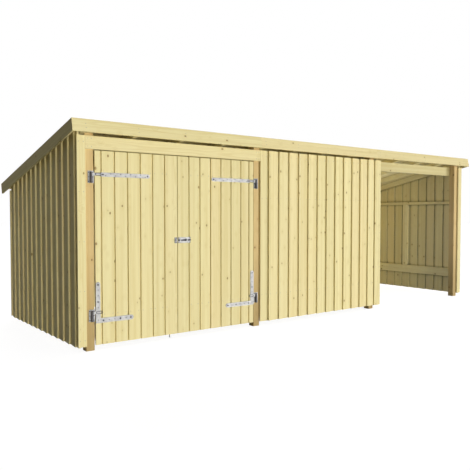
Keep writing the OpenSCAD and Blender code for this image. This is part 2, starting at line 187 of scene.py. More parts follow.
# Hinges: thickness of straps and plates, distance from the pin to the leaf's edge, and the ring on each neck
STRAP_T = 0.005
PLATE_T = 0.005
PLATE_SCREW_EDGE = 0.009
PLATE_SCREW_FOOT = 0.014
HINGE_EDGE = 0.0375
UPPER_EYE_H = 0.040
LOWER_EYE_Z = 0.363
LEG_W = 0.046
RING_SPAN = (0.040, 0.104)
RING_H = 0.029
RING_BAND = 0.0055
RING_T = 0.0025
RING_STEPS = 10

# Fixings of the straps: along the upper strap from the pin, and along the two legs of the angle strap
STRAP_SCREWS = 9
STRAP_SCREW_FIRST = 0.145
STRAP_SCREW_STEP = 0.0535
STRAP_SCREW_STAGGER = 0.009
STRAP_BOLTS = (0.120, 0.600)
LEVEL_LEG = ((0.075, BOLT), (0.135, SCREW), (0.195, SCREW), (0.255, BOLT), (0.315, SCREW), (0.368, BOLT))
UPRIGHT_LEG = ((0.030, SCREW), (0.150, SCREW), (0.205, BOLT), (0.265, SCREW), (0.320, SCREW), (0.370, BOLT))

# Plates of the latch and of the drop bolt
BOLT_PLATE_T = 0.003
BOLT_SCREW_EDGE = 0.007

# Camera at the photograph's place
CAMERA_AT = (-5.2246, -6.2289, 1.3051)
CAMERA_TILT = math.radians(90 - 2.078)
CAMERA_TURN = math.radians(-37.058)
CAMERA_LENS = 43.80
CAMERA_SENSOR = 36

# Lamps: turn from the front and height in degrees, and a cool panel in the mouth of the bay
KEY = {"turn": 45, "height": -3, "spread": 24, "strength": 1.80}
FILL = {"turn": -11, "height": -5, "spread": 10, "strength": 0.86, "colour": (1.0, 0.975, 0.88)}
LOW = {"turn": 22, "height": -36, "spread": 24, "strength": 0.87}
TOP = {"turn": 25, "height": 75, "spread": 60, "strength": 0.6}
REAR = {"turn": 155, "height": 25, "spread": 40, "strength": 1.3}
BAY_LAMP_AT = (1.30, -0.80, 0.90)
BAY_LAMP_TURN = 25
BAY_LAMP_SIZE = 1.5
BAY_LAMP_POWER = 8.8
BAY_LAMP_COLOUR = (0.33, 0.49, 1.0)
SKY_STRENGTH = 0.02

# Floor of the stage: its bounce, how far it is plain white, and a painted shadow on it in the closed room
WHITE = (1, 1, 1, 1)
FLOOR_SIZE = 120
FLOOR_BOUNCE = (0.12, 0.11, 0.055, 1)
FLOOR_WHITE_SHARE = 0.75
FLOOR_WHITE = 1.25
ROOM_SHADOW_BOX = ((-3.06, -0.86), (1.06, 1.05))
ROOM_FADE = 0.35
ROOM_BACK_FADE = 0.03
ROOM_WHITE_SHARE = 0.05


def srgb(red, green, blue):
    """Colour as it is seen, from 0 to 255, as the linear colour that a shader takes."""
    def linear(value):
        value /= 255
        return value / 12.92 if value <= 0.04045 else ((value + 0.055) / 1.055) ** 2.4
    return (linear(red), linear(green), linear(blue), 1)


class Shader:
    """A material's node tree, with short calls for the nodes that are used here."""

    def __init__(self, name):
        self.material = bpy.data.materials.new(name)
        self.material.use_nodes = True
        self.tree = self.material.node_tree
        self.tree.nodes.clear()
        self.output = self.tree.nodes.new("ShaderNodeOutputMaterial")

    def feed(self, socket, value):
        if isinstance(value, bpy.types.NodeSocket):
            self.tree.links.new(value, socket)
        else:
            socket.default_value = value

    def node(self, kind, inputs, **settings):
        made = self.tree.nodes.new(kind)
        for key, value in settings.items():
            setattr(made, key, value)
        for key, value in inputs.items():
            self.feed(made.inputs[key], value)
        return made

    def math(self, operation, *values, clamp=False):
        made = self.node("ShaderNodeMath", dict(enumerate(values)), operation=operation, use_clamp=clamp)
        return made.outputs[0]

    def mix(self, share, first, second):
        made = self.node("ShaderNodeMix", {0: share, 6: first, 7: second}, data_type="RGBA")
        return made.outputs[2]

    def fade(self, value, start, end, low=0.0, high=1.0):
        """Smooth step of a value from start to end."""
        made = self.node("ShaderNodeMapRange", {0: value, 1: start, 2: end, 3: low, 4: high},
                         interpolation_type="SMOOTHSTEP")
        return made.outputs[0]

    def between(self, value, low, high, low_fade, high_fade):
        """1 from low to high, fading to 0 at both ends."""
        rise = self.fade(value, low, low + low_fade)
        return self.math("MULTIPLY", rise, self.fade(value, high - high_fade, high, 1.0, 0.0))

    def attribute(self, name):
        return self.node("ShaderNodeAttribute", {}, attribute_name=name)

    def place(self):
        return self.node("ShaderNodeTexCoord", {}).outputs["Object"]

    def split(self, vector):
        return self.node("ShaderNodeSeparateXYZ", {0: vector}).outputs

    def scaled(self, vector, x, y, z):
        made = self.node("ShaderNodeVectorMath", {0: vector, 1: (x, y, z)}, operation="MULTIPLY")
        return made.outputs[0]

    def noise(self, vector, detail):
        return self.node("ShaderNodeTexNoise", {"Vector": vector, "Scale": 1.0, "Detail": detail}).outputs[0]

    def bump(self, height, strength, distance):
        made = self.node("ShaderNodeBump", {"Height": height, "Strength": strength, "Distance": distance})
        return made.outputs[0]

    def surface(self, inputs):
        made = self.node("ShaderNodeBsdfPrincipled", inputs)
        self.tree.links.new(made.outputs[0], self.output.inputs[0])
        return self.material


def knots(s, grain):
    """Share of a knot, and share of the halo of bent grain round it. Many cells hold no knot."""
    lanes = s.scaled(grain, 1 / KNOT_STEP, 1 / KNOT_LANE, 1 / KNOT_DEPTH)
    cells = s.node("ShaderNodeTexVoronoi", {"Vector": lanes, "Scale": 1.0})
    middle = s.scaled(cells.outputs["Position"], KNOT_STEP, KNOT_LANE, KNOT_DEPTH)
    offset = s.node("ShaderNodeVectorMath", {0: grain, 1: middle}, operation="SUBTRACT").outputs[0]
    stretched = s.scaled(offset, KNOT_STRETCH, 1, 1)
    distance = s.node("ShaderNodeVectorMath", {0: stretched}, operation="LENGTH").outputs["Value"]
    chance = s.split(cells.outputs["Color"])[0]
    radius = s.fade(chance, 0.0, 1.0, KNOT_SMALL, KNOT_LARGE)
    inside = s.math("SUBTRACT", radius, distance)
    halo = s.math("MULTIPLY", s.fade(inside, -HALO_REACH, 0.0), s.fade(radius, 0.0, HALO_FROM))
    return s.fade(inside, 0.0, KNOT_RIM), halo


def growth_rings(s, grain, halo):
    """Rings round the pith, which swirl along the board and bend round its knots."""
    _, across, depth = s.split(grain)
    swirl = s.math("SUBTRACT", s.noise(s.scaled(grain, *SWIRL_SCALE), 2.0), 0.5)
    from_pith = s.math("SQRT", s.math("ADD", s.math("POWER", across, 2.0), s.math("POWER", depth, 2.0)))
    bent = s.math("ADD", from_pith, s.math("MULTIPLY", swirl, SWIRL_REACH))
    bent = s.math("ADD", bent, s.math("MULTIPLY", halo, HALO_BEND))
    waves = s.math("SINE", s.math("MULTIPLY", bent, 2 * math.pi / GROWTH_RING))
    return s.fade(waves, *RING_RANGE)


def board_colour(s, shade, pale, deep, warm):
    """Colour between pale and deep, with each board a little warmer or lighter than the next."""
    tone = s.attribute("tone").outputs["Fac"]
    colour = s.mix(shade, pale, deep)
    colour = s.mix(s.fade(tone, WARM_FROM, 1.0, 0.0, WARM_SHARE), colour, s.mix(shade, warm, deep))
    turn = s.math("FRACT", s.math("MULTIPLY", tone, LIGHTNESS_TURNS))
    lightness = s.fade(turn, 0.0, 1.0, *LIGHTNESS)
    return s.node("ShaderNodeHueSaturation", {"Value": lightness, "Color": colour}).outputs[0]


def wood_material(name, pale, deep, warm, knot, corner_shade, corner_shade_range=CORNER_SHADE_OUTSIDE, foot_colour=None):
    """Planed softwood with rings, streaks, fibres and knots in each board's own frame, and painted shade in
    corners.

    Where a foot colour is given, the wood darkens towards the ground."""
    s = Shader(name)
    grain = s.attribute("grain").outputs["Vector"]
    in_knot, halo = knots(s, grain)
    rings = growth_rings(s, grain, halo)
    streaks = s.noise(s.scaled(grain, *STREAK_SCALE), 3.0)
    fibres = s.noise(s.scaled(grain, *FIBRE_SCALE), 2.0)
    streaked = s.fade(streaks, *STREAK_RANGE, 0.0, STREAK_SHARE)
    shade = s.math("ADD", s.math("MULTIPLY", rings, RING_SHARE), streaked)
    shade = s.math("ADD", shade, s.fade(fibres, *FIBRE_RANGE, -FIBRE_SHARE, FIBRE_SHARE), clamp=True)

    colour = board_colour(s, shade, pale, deep, warm)
    colour = s.mix(s.math("MULTIPLY", halo, HALO_SHARE), colour, deep)
    colour = s.mix(s.math("MULTIPLY", in_knot, KNOT_SHARE), colour, knot)
    end = s.attribute("end").outputs["Fac"]
    colour = s.mix(s.math("MULTIPLY", end, END_SHARE), colour, knot)
    # Painted shade: corners, laps and joints darken by their ambient occlusion
    corner = s.node("ShaderNodeAmbientOcclusion", {"Distance": CORNER_SHADE_REACH}, samples=CORNER_SHADE_RAYS).outputs["AO"]
    colour = s.mix(s.fade(corner, *corner_shade_range, 0.0), colour, corner_shade)
    # Darker towards the ground, where a foot colour is given
    if foot_colour:
        height = s.split(s.place())[2]
        colour = s.mix(s.fade(height, 0.0, DARKENING_HEIGHT, DARKENING_SHARE, 0.0), colour, foot_colour)

    relief = s.math("ADD", s.math("MULTIPLY", rings, RING_RELIEF), fibres)
    return s.surface({
        "Base Color": colour,
        "Roughness": s.fade(fibres, 0.2, 0.8, *WOOD_ROUGHNESS),
        "Specular IOR Level": WOOD_GLOSS,
        "Normal": s.bump(relief, *WOOD_BUMP),
    })


def felt_bead(s, place):
    """Share of the bitumen that is pressed out along the lower edge of each strip, in a wandering line."""
    eaves_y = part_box("roof_felt")[1].y
    from_eaves = s.math("SUBTRACT", eaves_y, s.split(place)[1])
    up_slope = s.math("DIVIDE", from_eaves, FELT_PITCH * math.cos(PITCH))
    wander = s.math("SUBTRACT", s.noise(s.scaled(place, *BEAD_WANDER_SCALE), 3.0), 0.5)
    up_slope = s.math("ADD", up_slope, s.math("MULTIPLY", wander, FELT_BEAD))
    past_lap = s.math("FRACT", up_slope)
    return s.fade(past_lap, 1.0 - FELT_BEAD, 1.0 - FELT_BEAD / 2)


def felt_material():
    """Mineral roofing felt: dark grains in strips of slightly different grey, with bitumen at each lap."""
    s = Shader("roof_felt_mineral")
    place = s.place()
    tone = s.attribute("tone").outputs["Fac"]
    bead = felt_bead(s, place)
    grains = s.noise(s.scaled(place, *FELT_GRAIN_SCALE), 2.0)
    patches = s.noise(s.scaled(place, *FELT_PATCH_SCALE), 3.0)
    colour = s.mix(s.fade(grains, 0.35, 0.7), FELT_DARK, FELT_LIGHT)
    colour = s.mix(s.fade(patches, 0.3, 0.75, 0.0, FELT_PATCH_SHARE), colour, FELT_PATCH)
    colour = s.mix(s.math("MULTIPLY", tone, FELT_TONE_SHARE), colour, FELT_PALE)
    colour = s.mix(bead, colour, BITUMEN)
    return s.surface({
        "Base Color": colour,
        "Roughness": s.fade(bead, 0.0, 1.0, *FELT_ROUGHNESS),
        "Specular IOR Level": FELT_GLOSS,
        "Normal": s.bump(grains, *FELT_BUMP),
    })


def zinc_material(name, light, dark, roughness, plate_y=None):
    """Hot-dip zinc with faint crystals and cloudy gloss, and painted shade and dark reflection on the steel
    in front of plate_y.
    """
    s = Shader(name)
    place = s.place()
    crystals = s.node("ShaderNodeTexVoronoi", {"Vector": place, "Scale": CRYSTAL_SCALE}).outputs["Color"]
    clouds = s.noise(s.scaled(place, *CLOUD_SCALE), 3.0)
    share = s.math("MULTIPLY", s.split(crystals)[0], CRYSTAL_SHARE)
    colour = s.mix(s.math("ADD", share, s.fade(clouds, 0.3, 0.7, 0.0, CLOUD_SHARE)), light, dark)
    if plate_y:
        # Painted shade and dark reflection: the pins and eyes in front of the plate's face are darker
        start, end = SHADE_EDGE
        shaded_front = s.fade(s.split(place)[1], plate_y - start, plate_y - end, 1.0, 0.0)
        colour = s.mix(shaded_front, colour, PAINTED_SHADE_STEEL)
    smooth, rough = CLOUD_ROUGHNESS
    return s.surface({
        "Base Color": colour,
        "Metallic": ZINC_METAL,
        "Roughness": s.fade(clouds, 0.2, 0.8, roughness + smooth, roughness + rough),
        "Normal": s.bump(clouds, *ZINC_BUMP),
    })


def seen_rays(tree):
    """1 for rays from the camera, in gloss and through clear things, and 0 for the rays of diffuse light."""
    rays = tree.nodes.new("ShaderNodeLightPath").outputs
    seen = rays["Is Camera Ray"]
    for name in ("Is Glossy Ray", "Is Transmission Ray"):
        either = tree.nodes.new("ShaderNodeMath")
        either.operation = "MAXIMUM"
        tree.links.new(seen, either.inputs[0])
        tree.links.new(rays[name], either.inputs[1])
        seen = either.outputs[0]
    return seen


def stage_material(name):
    """White with a faint shadow where it is seen, dull for other rays, and with a painted shadow in the
    closed room.
    """
    s = Shader(name)
    bounce = s.node("ShaderNodeBsdfDiffuse", {"Color": FLOOR_BOUNCE})
    shaded = s.node("ShaderNodeBsdfDiffuse", {"Color": WHITE})
    white = s.node("ShaderNodeEmission", {"Color": WHITE, "Strength": FLOOR_WHITE})
    x, y, _ = s.split(s.node("ShaderNodeNewGeometry", {}).outputs["Position"])
    # Painted shadow on the floor inside the closed room, fading towards the doors
    (left, front), (right, back) = ROOM_SHADOW_BOX
    room_shadow = s.math("MULTIPLY", s.between(x, left, right, ROOM_FADE, ROOM_FADE),
                     s.between(y, front, back, ROOM_FADE, ROOM_BACK_FADE))
    share = s.fade(room_shadow, 0.0, 1.0, FLOOR_WHITE_SHARE, ROOM_WHITE_SHARE)
    shown = s.node("ShaderNodeMixShader", {0: share, 1: shaded.outputs[0], 2: white.outputs[0]})
    both = s.node("ShaderNodeMixShader", {0: seen_rays(s.tree), 1: bounce.outputs[0], 2: shown.outputs[0]})
    s.tree.links.new(both.outputs[0], s.output.inputs[0])
    return s.material


def axes(origin, along, across):
    """Frame of a board: x along it, y across it, and z out of its face."""
    out = along.cross(across)
    return Matrix.Translation(origin) @ Matrix((along, across, out)).transposed().to_4x4()


def solids(node, place=WORLD):
    """Points of each separate solid of a CAD node, in the frame of place."""
    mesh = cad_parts[node].data
    into = place.inverted()
    keys = [tuple(round(value, POINT_DIGITS) for value in vertex.co) for vertex in mesh.vertices]
    parent = {key: key for key in keys}

    def root(key):
        while parent[key] != key:
            key = parent[key]
        return key

    for polygon in mesh.polygons:
        first = root(keys[polygon.vertices[0]])
        for index in polygon.vertices[1:]:
            parent[root(keys[index])] = first
    groups = {}
    for key in parent:
        groups.setdefault(root(key), []).append(into @ Vector(key))
    return sorted(groups.values(), key=lambda points: tuple(corners(points)[0]))


def corners(points):
    """Lowest and highest corner of some points."""
    low = Vector(min(point[axis] for point in points) for axis in range(3))
    high = Vector(max(point[axis] for point in points) for axis in range(3))
    return low, high


def counter_clockwise(section):
    area = sum(a[0] * b[1] - b[0] * a[1] for a, b in zip(section, section[1:] + section[:1]))
    return section if area > 0 else section[::-1]


def rounded(section, radius):
    """Section with its corners rounded."""
    points = []
    for index, here in enumerate(section):
        corner = Vector(here)
        before = corner + (Vector(section[index - 1]) - corner).normalized() * radius
        after = corner + (Vector(section[(index + 1) % len(section)]) - corner).normalized() * radius
        points += [before, (before + corner * 2 + after) / 4, after]
    return points


def rectangle(low, high):
    return [(low[0], low[1]), (high[0], low[1]), (high[0], high[1]), (low[0], high[1])]


def add_piece(name, mesh, material, body, nodes=()):
    """Puts a mesh into the scene as a piece of the shed."""
    mesh.materials.append(material)
    piece = bpy.data.objects.new(name, mesh)
    bpy.context.collection.objects.link(piece)
    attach(piece, body)
    if nodes:
        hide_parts(*nodes)


class Planks:
    """Boards of one piece in one mesh, each with its own stretch of grain and its own tone."""

    def __init__(self, name):
        self.name = name
        self.dice = random.Random(name)
        self.points = []
        self.grain = []
        self.tones = []
        self.faces = []
        self.ends = []

    def add(self, section, start, end, place, near=None, far=None, arris=ARRIS):
        """A board along x of place from start to end, where near and far are planes that cut its ends."""
        outline = rounded(counter_clockwise(section), arris)
        aside = self.dice.uniform(-PITH_ASIDE, PITH_ASIDE)
        log = Vector((self.dice.uniform(0, LOG_LENGTH), aside, self.dice.uniform(*PITH_BEHIND)))
        tone = self.dice.random()
        first = len(self.points)
        count = len(outline)
        for run, plane in ((start, near), (end, far)):
            for point in outline:
                local = Vector((run, point.x, point.y))
                if plane:
                    local.x = self.meet(place, local, plane)
                self.points.append(place @ local)
                self.grain.extend(local + log)
                self.tones.append(tone)
        for index in range(count):
            after = (index + 1) % count
            self.faces.append([first + index, first + after, first + count + after, first + count + index])
            self.ends.append(0)
        self.faces.append([first + index for index in reversed(range(count))])
        self.faces.append([first + count + index for index in range(count)])
        self.ends += [1, 1]

    @staticmethod
    def meet(place, local, plane):
        """Distance along a board to where a line of it meets a plane."""
        point, normal = plane
        along = place.to_3x3() @ RIGHT
        line = place @ Vector((0, local.y, local.z))
        return normal.dot(point - line) / normal.dot(along)

    def add_solid(self, points, place=WORLD):
        """A board with the box of a CAD solid in the frame of place, and grain along the longest side."""
        low, high = corners(points)
        size = high - low
        order = sorted(range(3), key=lambda axis: -size[axis])
        unit = (RIGHT, BACK, UP)
        half = [size[axis] / 2 for axis in order]
        local = place @ axes((low + high) / 2, unit[order[0]], unit[order[1]])
        self.add(rectangle((-half[1], -half[2]), (half[1], half[2])), -half[0], half[0], local)

    def build(self, material, body, slot, *nodes):
        mesh = bpy.data.meshes.new(self.name)
        mesh.from_pydata(self.points, [], self.faces)
        mesh.attributes.new("grain", "FLOAT_VECTOR", "POINT").data.foreach_set("vector", self.grain)
        mesh.attributes.new("tone", "FLOAT", "POINT").data.foreach_set("value", self.tones)
        mesh.attributes.new("end", "FLOAT", "FACE").data.foreach_set("value", self.ends)
        add_piece(self.name, mesh, material, body, nodes)


class Heads:
    """Heads of bolts, screws or nails, or flat rings, of one piece in one mesh."""

    def __init__(self, name):
        self.name = name
        self.points = []
        self.faces = []

    def join_loops(self, low, high, count):
        """Faces between two loops of points, from their first points."""
        for index in range(count):
            after = (index + 1) % count
            self.faces.append([low + index, low + after, high + after, high + index])

    def add(self, spot, out, radius, height):
        """Head on a spot of a face that looks out."""
        turn = out.to_track_quat("Z", "Y")
        loops = ((radius, 0), (radius, height * HEAD_RIM), (radius * HEAD_CROWN, height))
        first = len(self.points)
        for loop_radius, rise in loops:
            for side in range(HEAD_SIDES):
                angle = 2 * math.pi * side / HEAD_SIDES
                local = Vector((loop_radius * math.cos(angle), loop_radius * math.sin(angle), rise))
                self.points.append(spot + turn @ local)
        for loop in range(len(loops) - 1):
            low = first + loop * HEAD_SIDES
            self.join_loops(low, low + HEAD_SIDES, HEAD_SIDES)
        top = first + (len(loops) - 1) * HEAD_SIDES
        self.faces.append([top + side for side in range(HEAD_SIDES)])
        self.faces.append([first + side for side in reversed(range(HEAD_SIDES))])

    def add_ring(self, middle, half_x, half_z):
        """Flat ring with round ends on a face that looks along -y."""
        bend = half_x - half_z
        outline = []
        for end, first_angle in ((1, -90), (-1, 90)):
            for step in range(RING_STEPS + 1):
                angle = math.radians(first_angle + 180 * step / RING_STEPS)
                outline.append((end * bend, math.cos(angle), math.sin(angle)))
        first = len(self.points)
        count = len(outline)
        inner = half_z - RING_BAND
        loops = ((half_z, 0), (half_z, RING_T), (inner, RING_T), (inner, 0))
        for radius, depth in loops:
            for x, along, up in outline:
                self.points.append(middle + Vector((x + radius * along, -depth, radius * up)))
        for loop in range(len(loops)):
            self.join_loops(first + loop * count, first + (loop + 1) % len(loops) * count, count)

    def build(self, material, body, slot):
        mesh = bpy.data.meshes.new(self.name)
        mesh.from_pydata(self.points, [], self.faces)
        add_piece(self.name, mesh, material, body)


# Colours of the wood: two shades of grain, a warmer tone, knots, and the painted shade in corners
PALE_PINE = {
    "pale": srgb(242, 231, 178), "deep": srgb(222, 204, 140), "warm": srgb(240, 214, 166),
    "knot": srgb(154, 124, 72), "corner_shade": srgb(128, 114, 66),
}
# Darker pine for the sawn beams and the barge boards; on the beams its darkness is partly painted shade, for
# the shade under the roof's overhang
SAWN_AND_SHADED_PINE = {
    "pale": srgb(217, 206, 155), "deep": srgb(198, 181, 122), "warm": srgb(215, 191, 146),
    "knot": srgb(138, 114, 68), "corner_shade": srgb(118, 104, 60),
}
BROWN_PINE = {
    "pale": srgb(226, 200, 141), "deep": srgb(199, 164, 105), "warm": srgb(228, 193, 138),
    "knot": srgb(140, 98, 54), "corner_shade": srgb(120, 92, 52),
}
# Colour that the posts darken to towards the ground
FOOT_BROWN = srgb(136, 112, 62)
BOARD_WOOD = wood_material("pale_treated_pine", **PALE_PINE)
# The same pine with deeper painted shade in the corners of the open bay
BAY_WOOD = wood_material("pale_pine_shaded_in_bay", **PALE_PINE, corner_shade_range=CORNER_SHADE_IN_BAY)
# Beams in the darker pine, partly painted shade under the overhang
BEAM_WOOD = wood_material("sawn_shaded_pine_beam", **SAWN_AND_SHADED_PINE)
POST_WOOD = wood_material("brown_treated_pine", **BROWN_PINE, foot_colour=FOOT_BROWN)

# Colours of the felt: its grains, cloudy patches, paler strips, and the bead along the laps
FELT_DARK = srgb(48, 48, 50)
FELT_LIGHT = srgb(96, 95, 96)
FELT_PATCH = srgb(62, 60, 58)
FELT_PALE = srgb(84, 84, 87)
BITUMEN = srgb(22, 22, 23)
FELT = felt_material()

# Steel: the faces of the leaves, straps and plates, and two shades and the roughness of the zinc
LEAF_FACE_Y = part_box("left_door_boards")[0].y
LEAF_BACK_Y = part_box("left_door_boards")[1].y
STRAP_FACE_Y = LEAF_FACE_Y - STRAP_T
PLATE_FACE_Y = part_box("front_post_left")[0].y - PLATE_T
# Painted shade and dark reflection on the pins and eyes in front of the plates and straps
PAINTED_SHADE_STEEL = srgb(84, 82, 84)
ZINC_LOOK = (srgb(173, 172, 170), srgb(148, 148, 148), 0.55)
DARK_ZINC_LOOK = (srgb(66, 65, 74), srgb(44, 44, 52), 0.50)
ZINC = zinc_material("zinc_fitting", *ZINC_LOOK)
PLATE_ZINC = zinc_material("zinc_plate", *ZINC_LOOK, PLATE_FACE_Y)
STRAP_ZINC = zinc_material("zinc_strap", *ZINC_LOOK, STRAP_FACE_Y)
DARK_ZINC = zinc_material("zinc_bolt", *DARK_ZINC_LOOK)


def deck_plane():
    """Underside of the roof boards, which posts and side boards are cut off at."""
    underside = corners(solids("roof_deck", ROOF)[0])[0].z - FIT_GAP
    return ROOF @ Vector((0, 0, underside)), ROOF.to_3x3() @ UP


DECK_PLANE = deck_plane()


def make_posts():
    for row in ("front", "back"):
        for place in ("left", "door", "middle", "right"):
            node = f"{row}_post_{place}"
            low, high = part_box(node)
            planks = Planks(f"{node}_timber")
            middle = (low + high) / 2
            half = (high.x - low.x) / 2
            local = axes((middle.x, middle.y, low.z), UP, RIGHT)
            section = rectangle((-half, -half), (half, half))
            planks.add(section, 0, high.z, local, far=DECK_PLANE, arris=POST_ARRIS)
            planks.build(POST_WOOD, "shed", "post_wood", node)


def make_beams():
    for node in ("front_beam", "back_beam"):
        low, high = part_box(node)
        fall = (high.y - low.y) * math.tan(PITCH)
        planks = Planks(f"{node}_timber")
        section = [(low.y, low.z), (high.y, low.z), (high.y, high.z - fall), (low.y, high.z)]
        planks.add(section, low.x, high.x, WORLD)
        planks.build(BEAM_WOOD, "shed", "board_wood", node)


def make_from_solids(node, place=WORLD, wood=BOARD_WOOD):
    """Boards that are plain boxes in the frame of place."""
    planks = Planks(f"{node}_boards")
    for points in solids(node, place):
        planks.add_solid(points, place)
    planks.build(wood, "shed", "board_wood", node)


def make_fascias():
    """Fascia and eaves boards in three lengths each, butted over the posts."""
    joints = [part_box(f"front_post_{place}") for place in ("door", "middle")]
    for node in ("front_fascia", "back_fascia"):
        low, high = corners(solids(node, ROOF)[0])
        ends = [low.x] + [(a.x + b.x) / 2 for a, b in joints] + [high.x]
        planks = Planks(f"{node}_timber")
        for start, end in zip(ends, ends[1:]):
            planks.add_solid([Vector((start, low.y, low.z)), Vector((end, high.y, high.z))], ROOF)
        planks.build(BOARD_WOOD, "shed", "board_wood", node)


def make_roof_deck():
    low, high = corners(solids("roof_deck", ROOF)[0])
    planks = Planks("roof_deck_boards")
    start = low.y
    while start < high.y:
        end = min(start + DECK_PITCH, high.y)
        planks.add(rectangle((start, low.z), (end, high.z)), low.x, high.x, ROOF)
        start = end
    planks.build(BAY_WOOD, "shed", "board_wood", "roof_deck")


def make_roof_felt():
    """Strips of felt lapped up the slope from the eaves."""
    low, high = corners(solids("roof_felt", ROOF)[0])
    felt = Planks("roof_felt_strips")
    place = ROOF @ axes((high.x, high.y, low.z), -RIGHT, -BACK)
    sizes = (FELT_T, FELT_PITCH, FELT_LAP)
    lapped(felt, place, high.y - low.y, FELT_PITCH, high.x - low.x, sizes, arris=FELT_ARRIS)
    felt.build(FELT, "shed", "roof_felt", "roof_felt")


def lapped(planks, place, run, first, length, sizes, side=1, far=None, arris=ARRIS,
           heads=None, rails=(), flat_first=False):
    """Boards along x of place, lapped along y (against it where side is -1), with their exposed edges first.

    Each board has two of the nail heads at each of the rails, which are distances along x.
    A flat first board lies against the rails, as there is no board under its edge."""
    thick, pitch, lap = sizes
    start = first - pitch
    while start < run:
        low = max(start, 0)
        high = min(start + pitch + lap, run)
        face_low, face_high = (2 * thick - thick * (edge - start) / (pitch + lap) for edge in (low, high))
        if start < 0 and flat_first:
            face_low = thick
        planks.add([
            (side * low, face_low - thick), (side * high, face_high - thick),
            (side * high, face_high), (side * low, face_low),
        ], 0, length, place, far=far, arris=arris)
        for rail in rails:
            for across in (low + NAIL_EDGE, min(start + pitch, run) - NAIL_EDGE):
                face = face_low + (face_high - face_low) * (across - low) / (high - low)
                spot = place @ Vector((rail, side * across, face))
                heads.add(spot, place.to_3x3() @ UP, *NAIL)
        start += pitch


def rail_heights(node):
    """Middles of the rails that a wall is nailed to, above the foot of its boards."""
    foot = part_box(node)[0].z
    rails = node.replace("partition_wall", "partition") + "_rails"
    boxes = [corners(points) for points in solids(rails)]
    level = [(low.z + high.z) / 2 - foot for low, high in boxes if high.z - low.z < RAIL_TALLEST]
    return sorted({round(height, HEIGHT_DIGITS) for height in level})


def make_wall(node, wood, place, run, first, length, **lay):
    """Lapped boards of a wall, and the nails that hold them to its rails."""
    planks = Planks(f"{node}_boards")
    nails = Heads(f"{node}_nails")
    lapped(planks, place, run, first, length, CLADDING, heads=nails, rails=rail_heights(node), **lay)
    planks.build(wood, "shed", "board_wood", node)
    nails.build(ZINC, "shed", "zinc_steel")


def make_side_walls():
    """Boards that face left on the left wall, and right on the partition and the right wall."""
    for node in ("left_wall", "right_wall", "partition_wall"):
        low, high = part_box(node)
        if node == "left_wall":
            wood, place = BOARD_WOOD, axes((high.x, low.y, low.z), UP, BACK)
        else:
            wood, place = BAY_WOOD, axes((low.x, high.y, low.z), UP, -BACK)
        make_wall(node, wood, place, high.y - low.y, SIDE_FIRST_BOARD, high.z, far=DECK_PLANE)


def make_long_walls():
    """The boards of the middle bay and the back wall, both nailed to rails on their inner side."""
    for node, side in (("front_wall", -1), ("back_wall", 1)):
        low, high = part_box(node)
        inner_y = high.y if side < 0 else low.y
        place = axes((low.x, inner_y, low.z), UP, RIGHT * side)
        make_wall(node, BOARD_WOOD, place, high.x - low.x, FRONT_FIRST_BOARD, high.z - low.z,
                  side=side, flat_first=True)


def door_boards(side, width):
    """Starts and ends of a leaf's boards, measured from its meeting edge."""
    edges = [0, DOOR_FIRST_BOARD[side]]
    last = width - DOOR_LAST_BOARD[side]
    while edges[-1] + DOOR_PITCH < last - DOOR_GROOVE:
        edges.append(edges[-1] + DOOR_PITCH)
    edges += [last, width]
    return list(zip(edges, edges[1:]))


def make_door(side):
    """Boards of a leaf from its meeting edge to its hinge edge, with a sunk tongue in each joint."""
    node = f"{side}_door_boards"
    low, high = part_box(node)
    width = high.x - low.x
    thick = high.y - low.y
    height = high.z - low.z
    free_x = high.x if side == "left" else low.x
    place = axes((free_x, high.y, low.z), UP, -RIGHT)
    way = 1 if side == "left" else -1
    reach = DOOR_GROOVE / 2 + ARRIS
    planks = Planks(f"{node}_timber")
    for start, end in door_boards(side, width):
        face_start = start + (DOOR_GROOVE / 2 if start else 0)
        face_end = end - (DOOR_GROOVE / 2 if end < width else 0)
        planks.add(rectangle((way * face_start, 0), (way * face_end, thick)), 0, height, place)
        if start:
            joint = way * start
            tongue = rectangle((joint - reach, TONGUE_SET), (joint + reach, TONGUE_SET + TONGUE_T))
            planks.add(tongue, 0, height, place, arris=TONGUE_ARRIS)
    planks.build(BOARD_WOOD, f"{side}_door", "board_wood", node)


def make_ledges(side):
    """Two ledges and the brace between them, which rises from the hinge side."""
    node = f"{side}_door_ledges"
    planks = Planks(f"{node}_timber")
    for points in solids(node):
        low, high = corners(points)
        foot = [point.x for point in points if point.z < (low.z + high.z) / 2]
        head = [point.x for point in points if point.z >= (low.z + high.z) / 2]
        lean = (min(head) + max(head) - min(foot) - max(foot)) / 2
        if abs(lean) < ARRIS:
            planks.add_solid(points)
            continue
        along = Vector((lean, 0, high.z - low.z)).normalized()
        width = (max(foot) - min(foot)) * along.z
        middle = Vector(((min(foot) + max(foot)) / 2, (low.y + high.y) / 2, low.z))
        place = axes(middle, along, BACK)
        thick = high.y - low.y
        section = rectangle((-thick / 2, -width / 2), (thick / 2, width / 2))
        planks.add(section, 0, high.z, place, near=(low, UP), far=(high, UP))
    planks.build(BOARD_WOOD, f"{side}_door", "board_wood", node)


